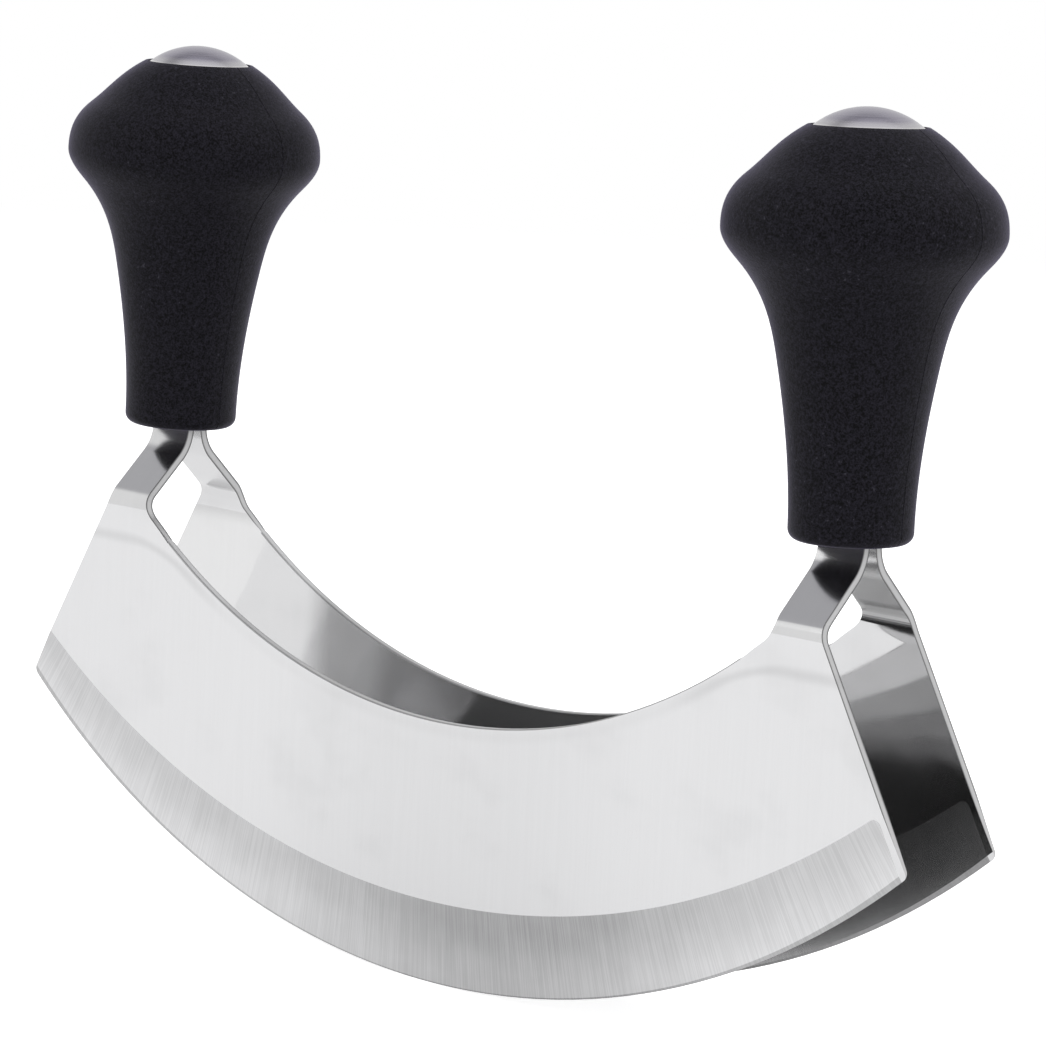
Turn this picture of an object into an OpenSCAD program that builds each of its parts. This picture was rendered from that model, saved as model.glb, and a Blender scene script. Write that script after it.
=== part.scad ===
// Double-bladed mezzaluna: two parallel curved blades with a knob-shaped grip at each end.
// Each blade is one piece of sheet steel whose two ends are bent inwards into tangs.
// The tangs of both blades run side by side into the grips, with a spacer plate between them.
// X runs along the blades, Y across them, and the cutting edges stand on Z = 0.

/* [Blades] */
// Length of a blade over its lower corners
blade_l = 200; // [190:1:215]
// Radius of the curved cutting edge
edge_r = 152.7; // [145:0.5:165]
// Thickness of the sheet steel
sheet_t = 1.5; // [1.2:0.1:2]
// Clear gap between the two blades
blade_gap = 21.6; // [19:0.2:26]
// Height of the arched top edge at the middle of the blade
arch_z = 45; // [41:0.5:48]
// Height at which the arched top edge reaches the tangs
arch_end_z = 71; // [69:0.25:73]
// Rounding of the lower corners
corner_r = 1.2; // [0.5:0.1:4]
// Height of the shoulder where the side edge runs into the tang
shoulder_z = 72; // [70:0.5:75]
// Rounding of the shoulder
shoulder_r = 8; // [3:0.5:12]
// Rounding between the arch and the inner side of a tang
armpit_r = 5; // [2:0.5:8]

/* [Grinding] */
// Height of the ground band at the middle of a blade
grind_h = 14.1; // [10:0.1:18]
// Radius of the line where the ground band starts
grind_r = 157.8; // [154:0.2:164]
// How far the ground band sits off centre along the blade
grind_x = -1; // [-3:0.1:3]
// Sheet thickness left behind the edge at the middle of a blade
behind_edge_t = 0.2; // [0.16:0.02:0.4]
// Width of the blunt cutting edge itself
edge_t = 0.1; // [0.05:0.01:0.14]
// Angle of the narrow honed bevel on each side of the edge
hone_angle = 15; // [12:1:22]

/* [Tangs] */
// Distance from the end of a blade to the middle of its tang
tang_inset = 23.7; // [22:0.1:26]
// Width of a tang
tang_w = 9; // [8:0.1:10]
// Length of the straight tang inside a grip
tang_l = 40; // [36:0.5:42]
// How far below the shoulder the lower bend starts
bend_drop = 1.4; // [0:0.1:4]
// Angle through which the sheet is bent inwards, and back again
bend_angle = 46.5; // [40:0.5:52]
// Inside radius of the lower bend
lower_bend_r = 3.5; // [1:0.1:5]
// Inside radius of the upper bend
upper_bend_r = 6.8; // [4:0.1:8]
// Thickness of the plate between the two tangs
spacer_t = 1.6; // [1:0.1:3]
// How far the spacer plate stays back from the mouth of the grip
spacer_inset = 3; // [1:0.5:6]

/* [Grips] */
// Height of a grip
grip_h = 65; // [62:0.5:68]
// Radius of the grip at its foot
foot_r = 9.95; // [9.4:0.05:11]
// Rounding of the foot's rim
foot_round = 1.8; // [0.8:0.1:2.4]
// Height of the waist, where the flare begins
waist_z = 28.5; // [26:0.5:31]
// Radius at the waist
waist_r = 12.85; // [12.2:0.05:13.6]
// Height of the throat, where the flare is steepest
throat_z = 43.6; // [42:0.2:45]
// Radius at the throat
throat_r = 19.6; // [18.6:0.1:20.4]
// Height of the knob's widest line
knob_z = 48.8; // [47.6:0.2:50]
// Radius of the knob at its widest
knob_r = 22.45; // [21.4:0.05:23.4]
// Height of the knob's sloping shoulder
slope_z = 57.2; // [55.6:0.2:58.6]
// Radius at the sloping shoulder
slope_r = 18.65; // [17.6:0.05:19.4]
// Lean of each grip towards the middle, in degrees
grip_lean = 1.2; // [0:0.1:2]
// Width of the joint line between the two shells of a grip
joint_w = 0.35; // [0.2:0.05:0.6]
// Depth of the joint line
joint_d = 0.35; // [0.2:0.05:0.6]
// Wall around the hollow of the knob
knob_wall = 3.2; // [2.4:0.1:4]
// Thickness of the rib that crosses the hollow
rib_t = 2; // [1.2:0.1:3]
// Clearance between a tang and its pocket
tang_clear = 0.15; // [0.05:0.05:0.3]

/* [Caps] */
// Radius of the steel cap
cap_r = 9.15; // [8.5:0.05:9.5]
// Height of the cap's dome above its edge
dome_h = 3.5; // [2.6:0.1:4.2]
// Thickness of the cap's metal
cap_t = 0.8; // [0.5:0.1:1.2]
// Depth of the skirt below the dome's edge
skirt_h = 3; // [2:0.1:4]
// How far the grip's rim stands above the dome's edge
rim_h = 0.5; // [0.2:0.1:0.8]
// Thickness of the grip's rim around the cap
rim_t = 0.35; // [0.25:0.05:0.8]
// Clearance between the cap and its recess
cap_clear = 0.05; // [0.02:0.01:0.1]

/* [Pins and pegs] */
// Radius of the steel cross pins
pin_r = 2; // [1.5:0.1:2.4]
// Height of the lower pin above the grip's foot
pin_low_z = 12; // [10:0.5:14]
// Distance between the two pins of a grip
pin_pitch = 18; // [14:0.5:20]
// Depth to which a pin reaches into each shell
pin_bite = 5; // [3:0.1:5.5]
// Radius of the moulded pegs that line up the two shells
peg_r = 1.2; // [0.9:0.1:1.5]
// Length of a moulded peg
peg_l = 3; // [2:0.1:4]
// Clearance around a pin, and around a peg in its socket
pin_clear = 0.05; // [0.02:0.01:0.1]

/* [Hidden] */

blade_color = [0.80, 0.80, 0.81];
grip_color = [0.12, 0.12, 0.14];
cap_color = [0.66, 0.65, 0.70];
spacer_color = [0.62, 0.63, 0.65];
pin_color = [0.72, 0.73, 0.75];

// Angle between two points of a rounded outline
arc_step = 1.5;
// Number of sides of the large cones that grind the blades
cone_fn = 360;
// Number of sides of the turned pieces
turn_fn = 120;
// Number of points in each stretch of the grip's outline
spline_n = 10;
// Length by which a cutting tool passes its work
over = 1;

// Blade outline, in X and Z
edge_c = [0, edge_r];
tang_x = blade_l / 2 - tang_inset;
tang_in = tang_x - tang_w / 2;
tang_out = tang_x + tang_w / 2;
arch_rise = arch_end_z - arch_z;
arch_r = (tang_in * tang_in + arch_rise * arch_rise) / (2 * arch_rise);
arch_c = [0, arch_z + arch_r];
corner = [blade_l / 2, edge_r - sqrt(edge_r * edge_r - blade_l * blade_l / 4)];
shoulder = [tang_out, shoulder_z];
side_dir = (shoulder - corner) / norm(shoulder - corner);
side_in = [-side_dir[1], side_dir[0]];

// Bent tang, in Y and Z: both bends turn through the same angle
blade_y = blade_gap / 2;
tang_y = spacer_t / 2;
bend_z = shoulder_z - bend_drop;
low_outer_r = lower_bend_r + sheet_t;
low_c = [blade_y - lower_bend_r, bend_z];
slope_start = low_c + low_outer_r * [cos(bend_angle), sin(bend_angle)];
up_c_y = tang_y + sheet_t + upper_bend_r;
slope_end_y = up_c_y - upper_bend_r * cos(bend_angle);
slope_end_z = slope_start[1] + (slope_start[0] - slope_end_y) / tan(bend_angle);
up_c = [up_c_y, slope_end_z + upper_bend_r * sin(bend_angle)];

// The grip's foot sits where the tangs have become straight
grip_z = up_c[1];
tang_top = grip_z + tang_l;
pin_heights = [grip_z + pin_low_z, grip_z + pin_low_z + pin_pitch];

// Slopes of the grip's outline, as radius gained per height
waist_slope = 0.19;
throat_slope = 0.92;
shoulder_slope = -1.08;
rim_slope = -2.2;
recess_r = cap_r + cap_clear;
rim_r = recess_r + rim_t;
recess_floor = grip_h - rim_h - skirt_h;

// Hollow of the knob, between the end of the tangs and the floor of the cap's recess
hollow_floor = tang_l + knob_wall;
hollow_roof = recess_floor - knob_wall;

// Pegs stand at two heights, midway between the tang's pocket and the outside
peg_heights = [tang_l / 2, tang_l - peg_r];

// Points of an arc about c from angle a0 to angle a1
function arc(c, r, a0, a1) =
    let (n = max(2, ceil(abs(a1 - a0) / arc_step)))
    [for (i = [0:n]) c + r * [cos(a0 + (a1 - a0) * i / n), sin(a0 + (a1 - a0) * i / n)]];

// Direction of a vector, in degrees
function heading(v) = atan2(v[1], v[0]);

// Smooth curve value between two stations [z, radius, slope]
function blend(a, b, z) =
    let (d = b[0] - a[0], t = (z - a[0]) / d)
    (2 * t * t * t - 3 * t * t + 1) * a[1] + (t * t * t - 2 * t * t + t) * d * a[2]
    + (3 * t * t - 2 * t * t * t) * b[1] + (t * t * t - t * t) * d * b[2];

// Stations of the grip's outline from the foot to the rim
grip_stations = [
    [foot_round, foot_r, 0],
    [waist_z, waist_r, waist_slope],
    [throat_z, throat_r, throat_slope],
    [knob_z, knob_r, 0],
    [slope_z, slope_r, shoulder_slope],
    [grip_h, rim_r, rim_slope]
];

// Radius of the grip at a height above its foot
function grip_radius(z) =
    let (s = grip_stations, k = max([for (i = [0:len(s) - 2]) if (z >= s[i][0]) i]))
    blend(s[k], s[k + 1], z);

// Heights between two limits, evenly spaced
function heights(z0, z1, n) = [for (i = [0:n]) z0 + (z1 - z0) * i / n];

// Heights at which the grip's outline has points, with the stations among them
function outline_heights() =
    let (s = grip_stations)
    [for (k = [0:len(s) - 2], i = [0:spline_n - 1]) s[k][0] + (s[k + 1][0] - s[k][0]) * i / spline_n];

// Outline of one half of a blade seen from the front, before it is bent
function half_outline() =
    let (
        corner_reach = corner + corner_r * side_in - edge_c,
        along = corner_reach * side_dir,
        slip = -along - sqrt(along * along - corner_reach * corner_reach + pow(edge_r - corner_r, 2)),
        corner_c = edge_c + corner_reach + slip * side_dir,
        corner_a = heading(corner_c - edge_c),
        side_a = heading(-side_in),
        shoulder_reach = shoulder_r * tan((heading(side_dir) - 90) / 2),
        shoulder_c = shoulder + [shoulder_r, shoulder_reach],
        armpit_x = tang_in - armpit_r,
        armpit_c = [armpit_x, arch_c[1] - sqrt(pow(arch_r - armpit_r, 2) - armpit_x * armpit_x)],
        armpit_a = heading(armpit_c - arch_c)
    )
    concat(
        arc(edge_c, edge_r, -90, corner_a),
        arc(corner_c, corner_r, corner_a, side_a),
        arc(shoulder_c, shoulder_r, heading(side_dir) + 90, 180),
        [[tang_out, tang_top], [tang_in, tang_top]],
        arc(armpit_c, armpit_r, 0, armpit_a),
        arc(arch_c, arch_r, armpit_a, -90)
    );

module blade_outline() {
    half = half_outline();
    mirrored = [for (i = [len(half) - 2:-1:1]) [-half[i][0], half[i][1]]];
    polygon(concat(half, mirrored));
}

// The sheet seen from its end: upright, bent inwards, and upright again in the grip
module bent_sheet_section() {
    outer = concat(
        [[blade_y + sheet_t, -over]],
        arc(low_c, low_outer_r, 0, bend_angle),
        arc(up_c, upper_bend_r, 180 + bend_angle, 180),
        [[tang_y + sheet_t, tang_top + over]]
    );
    inner = concat(
        [[tang_y, tang_top + over]],
        arc(up_c, upper_bend_r + sheet_t, 180, 180 + bend_angle),
        arc(low_c, lower_bend_r, bend_angle, 0),
        [[blade_y, -over]]
    );
    polygon(concat(outer, inner));
}

// Lays a shape drawn in X and Z across the sheet, from y0 over a depth
module across(y0, depth) {
    translate([0, y0 + depth, 0]) rotate([90, 0, 0]) linear_extrude(depth) children();
}

// What a wheel takes away from one face of the sheet: all that lies outside a shallow cone.
// The cone's radius is r on the face at y = 0 and grows by spread for each millimetre of depth.
module outside_cone(c, r, spread) {
    deep_r = r + spread * sheet_t;
    outer_r = deep_r + blade_l;
    ring = [[r, -over], [r, 0], [deep_r, sheet_t], [outer_r, sheet_t], [outer_r, -over]];
    translate([c[0], 0, c[1]]) rotate([-90, 0, 0]) rotate_extrude($fn = cone_fn) polygon(ring);
}

// Both bevels on the face at y = 0 of a sheet that lies behind it
module bevels() {
    grind_spread = 2 * grind_h / (sheet_t - behind_edge_t);
    outside_cone([grind_x, grind_h + grind_r], grind_r, grind_spread);
    hone_spread = 1 / tan(hone_angle);
    outside_cone(edge_c, edge_r - hone_spread * (sheet_t - edge_t) / 2, hone_spread);
}

// One blade on the +Y side, with its two tangs
module blade() {
    difference() {
        intersection() {
            translate([-blade_l, 0, 0]) rotate([90, 0, 90]) linear_extrude(2 * blade_l) bent_sheet_section();
            across(0, blade_y + 2 * sheet_t) blade_outline();
        }
        translate([0, blade_y, 0]) bevels();
        translate([0, blade_y + sheet_t, 0]) mirror([0, 1, 0]) bevels();
        for (side = [-1, 1], z = pin_heights)
            translate([side * tang_x, 0, z]) rotate([-90, 0, 0])
                cylinder(r = pin_r + pin_clear, h = blade_y, $fn = turn_fn);
    }
}

module rear_blade() {
    color(blade_color) blade();
}

module front_blade() {
    color(blade_color) mirror([0, 1, 0]) blade();
}

// Outline of the grip from its axis, drawn in by inset all round
module grip_outline(inset) {
    top = grip_h - inset;
    foot = arc([foot_r - foot_round, foot_round], foot_round - inset, -90, 0);
    wall = [for (z = outline_heights()) if (z > foot_round && z < top) [grip_radius(z) - inset, z]];
    polygon(concat([[0, inset]], foot, wall, [[grip_radius(top) - inset, top], [0, top]]));
}

// Outline of the hollow in the knob
module hollow_outline() {
    wall = [for (z = heights(hollow_floor, hollow_roof, spline_n)) [grip_radius(z) - knob_wall, z]];
    polygon(concat([[0, hollow_floor]], wall, [[0, hollow_roof]]));
}

// Puts a piece drawn about its own axis on the right-hand tangs, leaning to the middle
module on_grip_axis() {
    translate([tang_x, 0, grip_z]) rotate([0, -grip_lean, 0]) children();
}

// Keeps what lies at y or more
module rear_of(y) {
    size = 4 * grip_h;
    intersection() {
        children();
        translate([-size / 2, y, -size / 2]) cube(size);
    }
}

// Pockets that both tangs, the spacer and the pins need in a grip
module tang_pockets() {
    half_x = tang_w / 2 + tang_clear;
    half_y = tang_y + sheet_t + tang_clear;
    translate([tang_x - half_x, -half_y, grip_z - 2 * over])
        cube([2 * half_x, 2 * half_y, tang_l + 2 * over + tang_clear]);
    pin_reach = tang_y + sheet_t + pin_bite + 2 * tang_clear;
    for (z = pin_heights)
        translate([tang_x, -pin_reach, z]) rotate([-90, 0, 0])
            cylinder(r = pin_r + pin_clear, h = 2 * pin_reach, $fn = turn_fn);
}

// Pegs on the joint face, or their sockets when grown by a clearance
module pegs(grow) {
    for (z = peg_heights, side = [-1, 1]) {
        peg_x = (tang_w / 2 + grip_radius(z)) / 2;
        translate([side * peg_x, -peg_l, z]) rotate([-90, 0, 0])
            cylinder(r = peg_r + grow, h = 2 * peg_l + grow, $fn = turn_fn);
    }
}

// Shell of the right-hand grip behind the joint face, without pegs or sockets
module grip_shell() {
    difference() {
        on_grip_axis() {
            difference() {
                union() {
                    rear_of(0) rotate_extrude($fn = turn_fn) grip_outline(joint_d);
                    rear_of(joint_w / 2) rotate_extrude($fn = turn_fn) grip_outline(0);
                }
                difference() {
                    rotate_extrude($fn = turn_fn) hollow_outline();
                    translate([-rib_t / 2, 0, 0]) cube([rib_t, knob_r, grip_h]);
                }
                translate([0, 0, recess_floor]) cylinder(r = recess_r, h = grip_h, $fn = turn_fn);
            }
        }
        tang_pockets();
    }
}

module right_rear_shell() {
    difference() {
        grip_shell();
        on_grip_axis() pegs(pin_clear);
    }
}

module right_front_shell() {
    mirror([0, 1, 0]) grip_shell();
    on_grip_axis() pegs(0);
}

module right_rear_grip() {
    color(grip_color) right_rear_shell();
}

module right_front_grip() {
    color(grip_color) right_front_shell();
}

module left_rear_grip() {
    color(grip_color) mirror([1, 0, 0]) right_rear_shell();
}

module left_front_grip() {
    color(grip_color) mirror([1, 0, 0]) right_front_shell();
}

// Ball cap whose edge has radius r at height 0 and whose top is at height h
module ball_cap(r, h) {
    ball_r = (r * r + h * h) / (2 * h);
    intersection() {
        translate([0, 0, h - ball_r]) sphere(r = ball_r, $fn = turn_fn);
        cylinder(r = 2 * r, h = 2 * h, $fn = turn_fn);
    }
}

// Drawn steel cap: a dome with a skirt that stands on the floor of the recess
module cap() {
    bore = cap_r - cap_t;
    on_grip_axis() translate([0, 0, recess_floor]) difference() {
        union() {
            cylinder(r = cap_r, h = skirt_h, $fn = turn_fn);
            translate([0, 0, skirt_h]) ball_cap(cap_r, dome_h);
        }
        translate([0, 0, -over]) cylinder(r = bore, h = skirt_h + over, $fn = turn_fn);
        translate([0, 0, skirt_h]) ball_cap(bore, dome_h - cap_t);
    }
}

module right_cap() {
    color(cap_color) cap();
}

module left_cap() {
    color(cap_color) mirror([1, 0, 0]) cap();
}

// Plate between the straight parts of the two tangs
module tang_spacer() {
    difference() {
        translate([tang_in, -tang_y, grip_z + spacer_inset]) cube([tang_w, spacer_t, tang_l - spacer_inset]);
        for (z = pin_heights)
            translate([tang_x, -spacer_t, z]) rotate([-90, 0, 0])
                cylinder(r = pin_r + pin_clear, h = 2 * spacer_t, $fn = turn_fn);
    }
}

module right_tang_spacer() {
    color(spacer_color) tang_spacer();
}

module left_tang_spacer() {
    color(spacer_color) mirror([1, 0, 0]) tang_spacer();
}

// Two pins through the tangs and the spacer, with their ends in both shells
module cross_pins() {
    reach = tang_y + sheet_t + pin_bite;
    for (z = pin_heights)
        translate([tang_x, -reach, z]) rotate([-90, 0, 0]) cylinder(r = pin_r, h = 2 * reach, $fn = turn_fn);
}

module right_cross_pins() {
    color(pin_color) cross_pins();
}

module left_cross_pins() {
    color(pin_color) mirror([1, 0, 0]) cross_pins();
}

front_blade();
rear_blade();
left_front_grip();
left_rear_grip();
right_front_grip();
right_rear_grip();
left_cap();
right_cap();
left_tang_spacer();
right_tang_spacer();
left_cross_pins();
right_cross_pins();
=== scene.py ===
# %% [markdown]
# # A double-bladed mezzaluna
# Two curved blades of polished sheet steel stand side by side and carry a black knob-shaped grip at each
# end.
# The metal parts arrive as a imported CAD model, in metres and already in place.
# This script gives them their finish, models the moulded grips again with a finer skin, and lights them
# like a product photo.

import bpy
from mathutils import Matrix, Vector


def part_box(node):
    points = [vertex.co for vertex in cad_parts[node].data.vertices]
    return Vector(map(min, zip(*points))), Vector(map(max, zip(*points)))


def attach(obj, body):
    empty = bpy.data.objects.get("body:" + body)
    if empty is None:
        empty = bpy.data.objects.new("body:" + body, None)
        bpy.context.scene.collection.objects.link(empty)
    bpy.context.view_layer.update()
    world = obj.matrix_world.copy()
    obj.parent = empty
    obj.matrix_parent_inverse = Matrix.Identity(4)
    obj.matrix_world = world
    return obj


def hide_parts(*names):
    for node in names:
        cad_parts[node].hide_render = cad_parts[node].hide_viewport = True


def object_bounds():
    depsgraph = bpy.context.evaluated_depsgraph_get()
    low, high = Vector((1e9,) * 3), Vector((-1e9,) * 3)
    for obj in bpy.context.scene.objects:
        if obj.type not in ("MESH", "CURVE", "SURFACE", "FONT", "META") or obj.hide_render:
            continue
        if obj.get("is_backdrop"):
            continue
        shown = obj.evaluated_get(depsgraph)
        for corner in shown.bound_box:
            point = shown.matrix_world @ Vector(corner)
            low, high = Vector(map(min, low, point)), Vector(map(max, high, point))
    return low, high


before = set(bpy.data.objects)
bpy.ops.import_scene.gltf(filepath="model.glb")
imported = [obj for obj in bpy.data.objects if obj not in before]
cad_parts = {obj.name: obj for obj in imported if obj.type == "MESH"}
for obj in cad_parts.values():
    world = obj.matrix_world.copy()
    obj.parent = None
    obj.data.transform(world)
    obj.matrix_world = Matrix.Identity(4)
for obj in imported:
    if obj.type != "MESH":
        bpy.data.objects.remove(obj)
cad_low, cad_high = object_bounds()
print("nodes:", len(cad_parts), "box in mm:", [round(1000 * v, 2) for v in (*cad_low, *cad_high)])

# %% [markdown]
# ## Working units and a clean start
# All the drawing sizes below are in millimetres, as on a workshop drawing, while Blender works in metres.
# An operator acts on whatever is selected, so a small helper clears the selection before each new piece.
# A second helper picks edges or faces in code, which stands in for clicking on them, and a third one adds
# a modifier and applies it.

# %% Helpers for selecting
import math

import bmesh
import bpy
from mathutils import Matrix, Vector

MM = 0.001


def select_only(piece):
    """Makes this object the only selected one, and the active one."""
    bpy.ops.object.select_all(action="DESELECT")
    piece.select_set(True)
    bpy.context.view_layer.objects.active = piece


def pick(piece, kind, wanted):
    """In edit mode, selects just the edges or faces for which wanted() is true, and says how many."""
    bpy.ops.mesh.select_mode(type="EDGE" if kind == "edges" else "FACE")
    bpy.ops.mesh.select_all(action="DESELECT")
    mesh = bmesh.from_edit_mesh(piece.data)
    chosen = [part for part in getattr(mesh, kind) if wanted(part)]
    for part in chosen:
        part.select_set(True)
    mesh.select_flush_mode()
    bmesh.update_edit_mesh(piece.data)
    return len(chosen)


def apply_modifier(piece, kind, **settings):
    """Adds a modifier with these settings and applies it at once."""
    select_only(piece)
    modifier = piece.modifiers.new(kind.title(), kind)
    for name, value in settings.items():
        setattr(modifier, name, value)
    bpy.ops.object.modifier_apply(modifier=modifier.name)


select_only(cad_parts["front_blade"])
print("selected:", [o.name for o in bpy.context.selected_objects])

# %% [markdown]
# ## The blades: deburring the sheet
# A blade is cut from 1.5 mm sheet, bent at both ends and ground, and then its sharp outline is broken with
# a belt.
# The CAD solid has the right shape but razor-sharp outlines, and its mesh is loose triangles.
# One could sculpt new blades by hand, but that would only lose accuracy.
# So a copy of the solid is merged into one skin, and its flat triangles are dissolved into whole faces.

# %% Merge the triangles into whole faces
merge_reach = 0.002
flat_within_degrees = 0.02


def merged_copy(node, name):
    """A copy of a CAD solid as one closed skin of whole faces."""
    piece = bpy.data.objects.new(name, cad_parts[node].data.copy())
    bpy.context.scene.collection.objects.link(piece)
    select_only(piece)
    bpy.ops.mesh.customdata_custom_splitnormals_clear()
    bpy.ops.object.mode_set(mode="EDIT")
    bpy.ops.mesh.select_all(action="SELECT")
    bpy.ops.mesh.remove_doubles(threshold=merge_reach * MM)
    bpy.ops.mesh.dissolve_limited(angle_limit=math.radians(flat_within_degrees))
    bpy.ops.object.mode_set(mode="OBJECT")
    print(name, "merged into", len(piece.data.polygons), "faces")
    return piece


front_blade = merged_copy("front_blade", "blade.front")
rear_blade = merged_copy("rear_blade", "blade.rear")

# %% [markdown]
# ## The blades: a fine bevel on the outline
# A bevel on every edge would be wrong, because the cutting edge and the ends of the ground band are far
# thinner than the sheet, and they stay as they are.
# So the edges are chosen by their turn and by their place, and only the square outline of the flat sheet
# gets a fine bevel, which catches the light.
# The bevel's faces are marked in an attribute, so that the steel can leave them duller, as a belt does.
# Round the bends the outline stays crisp, and there the material draws the dull rims of the cut.

# %% Which edges are bevelled
grind_radius = 157.8
grind_centre_x = -1.0
grind_height = 14.1
grind_centre_z = grind_height + grind_radius
line_margin = 0.05
deburred_up_to = 66.0
square_turn = 45


def turn_of(edge):
    """Angle between the two faces that meet at an edge, in degrees."""
    return math.degrees(edge.calc_face_angle(0.0)) if len(edge.link_faces) == 2 else 0.0


def in_ground_band(point):
    """True for a point on or below the line where the grinding starts."""
    reach = math.hypot(point.x / MM - grind_centre_x, point.z / MM - grind_centre_z)
    return reach > grind_radius - line_margin


def is_outline(edge):
    """A square edge of the flat sheet, below the bends and away from the thin ground band."""
    elsewhere = any(v.co.z > deburred_up_to * MM or in_ground_band(v.co) for v in edge.verts)
    return turn_of(edge) > square_turn and not elsewhere


print("the grinding starts", grind_height, "mm above the board at the middle of a blade")

# %% Bevel the outline
burr_width = 0.2


def break_outline(piece):
    """Bevels the outline of the flat sheet and marks the new faces in the attribute burr."""
    select_only(piece)
    bpy.ops.object.mode_set(mode="EDIT")
    outline = pick(piece, "edges", is_outline)
    bpy.ops.mesh.bevel(
        offset=burr_width * MM, offset_type="OFFSET", segments=2, affect="EDGES", clamp_overlap=False
    )
    bpy.ops.object.mode_set(mode="OBJECT")
    burr = piece.data.attributes.new("burr", "FLOAT", "FACE")
    burr.data.foreach_set("value", [float(face.select) for face in piece.data.polygons])
    print(piece.name, "outline edges:", outline, "faces now:", len(piece.data.polygons))


break_outline(front_blade)
break_outline(rear_blade)

# %% [markdown]
# ## The blades: ridges and flat mirrors
# Smooth shading rounds the curved parts, but a polished plane shows every wrong normal as a bent image.
# Flat shading would break the bends into strips instead.
# So the ridges are marked sharp, large faces get the most say in the normals, and the flat sides and the
# slopes of the tangs take their own face's normal right up to the outline.

# %% Which edges and faces keep their own normals
crisp_turn = 60
ridge_turn = 2.0
side_facing = 0.99999
slope_facing = 0.5
smallest_slope = 50 * MM * MM


def stays_crisp(edge):
    """The ridges of the grinding and the honing, the cutting edge, and the outline round the bends."""
    on_ground = any(in_ground_band(v.co) for v in edge.verts)
    return turn_of(edge) > crisp_turn or (turn_of(edge) > ridge_turn and on_ground)


def is_flat_side(face):
    """Part of a flat side or of a tang's slope, which has to mirror as one plane."""
    on_slope = abs(face.normal.z) > slope_facing and face.calc_area() > smallest_slope
    return abs(face.normal.y) > side_facing or on_slope


print("a ridge turns by more than", ridge_turn, "degrees")


# %% Shade the blades and set them in place
def shade_blade(piece):
    """Marks the ridges sharp, smooths the rest and flattens the normals of the plane faces."""
    select_only(piece)
    bpy.ops.object.mode_set(mode="EDIT")
    bpy.ops.mesh.select_all(action="SELECT")
    bpy.ops.mesh.mark_sharp(clear=True)
    ridges = pick(piece, "edges", stays_crisp)
    bpy.ops.mesh.mark_sharp()
    bpy.ops.object.mode_set(mode="OBJECT")
    bpy.ops.object.shade_smooth(keep_sharp_edges=True)
    apply_modifier(piece, "WEIGHTED_NORMAL", keep_sharp=True)
    bpy.ops.object.mode_set(mode="EDIT")
    flats = pick(piece, "faces", is_flat_side)
    bpy.ops.mesh.set_normals_from_faces(keep_sharp=True)
    bpy.ops.object.mode_set(mode="OBJECT")
    print(piece.name, "sharp edges:", ridges, "flat faces:", flats)


for piece, node in ((front_blade, "front_blade"), (rear_blade, "rear_blade")):
    shade_blade(piece)
    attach(piece, "root")
    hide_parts(node)

# %% [markdown]
# ## The grips: two moulded half shells
# Each grip is moulded in two halves that meet along the blades, and a fine joint line shows down its side.
# It is a turned form: a slim stem that flares into a round knob, with a flat top for the steel cap.
# A spun profile curve would do, but here a disc is drawn up ring by ring, as clay rises on a wheel, because
# each ring then has the radius of the drawing.
# The rings are denser than in the CAD solid, so the satin plastic shows no bands.
# Just under the cap they are also slimmer than the solid, by up to 0.7 mm, as a later look at the photo
# showed them to be.

# %% The outline of a grip
cap_foot, cap_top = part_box("right_cap")
cap_radius = (cap_top.y - cap_foot.y) / 2 / MM
cap_play = 0.05
recess_radius = cap_radius + cap_play
recess_depth = 3.5
rim_width = 0.35
rim_break = 0.1
foot_radius = 9.95
foot_round = 1.8
# Height, radius and slope of the outline, from the rounded foot up to the rim.
stations = [
    (foot_round, foot_radius, 0.0),
    (28.5, 12.85, 0.19),
    (43.6, 19.6, 0.92),
    (48.8, 22.45, 0.0),
    (57.2, 18.65, -1.16),
    (65.0, recess_radius + rim_width, -1.7),
]


def smooth_radius(below, above, z):
    """Radius at height z on the smooth curve between two stations of height, radius and slope."""
    rise = above[0] - below[0]
    t = (z - below[0]) / rise
    start = (2 * t**3 - 3 * t**2 + 1) * below[1] + (t**3 - 2 * t**2 + t) * rise * below[2]
    end = (3 * t**2 - 2 * t**3) * above[1] + (t**3 - t**2) * rise * above[2]
    return start + end


print("cap radius:", round(cap_radius, 3), "mm, height of the grip:", stations[-1][0], "mm")

# %% The rings of a grip
foot_steps = 8
rings_between_stations = 16


def grip_rings():
    """Radius and height of every ring, from the flat foot up to the rim and down into the cap's recess."""
    rings = []
    for step in range(foot_steps + 1):
        angle = math.radians(90 * step / foot_steps)
        radius = foot_radius - foot_round + foot_round * math.sin(angle)
        rings.append((radius, foot_round - foot_round * math.cos(angle)))
    for below, above in zip(stations, stations[1:]):
        for step in range(1, rings_between_stations + 1):
            z = below[0] + (above[0] - below[0]) * step / rings_between_stations
            rings.append((smooth_radius(below, above, z), z))
    top = stations[-1][0]
    rings.append((recess_radius + rim_break, top))
    rings.append((recess_radius, top - rim_break))
    rings.append((recess_radius, top - recess_depth))
    return rings


rings = grip_rings()
print("rings:", len(rings), "widest radius:", round(max(r for r, z in rings), 3), "mm")

# %% [markdown]
# ## Raising and halving one grip
# The disc is extruded and scaled once for every ring, over the rim and down to the floor of the cap's
# recess.
# A bisect then keeps the rear half, and a small bevel breaks the rim of the cut.
# Two such breaks face to face make the fine joint line, as on any part that is moulded in halves.

# %% Raise the blank ring by ring
sides_of_a_ring = 96


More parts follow.
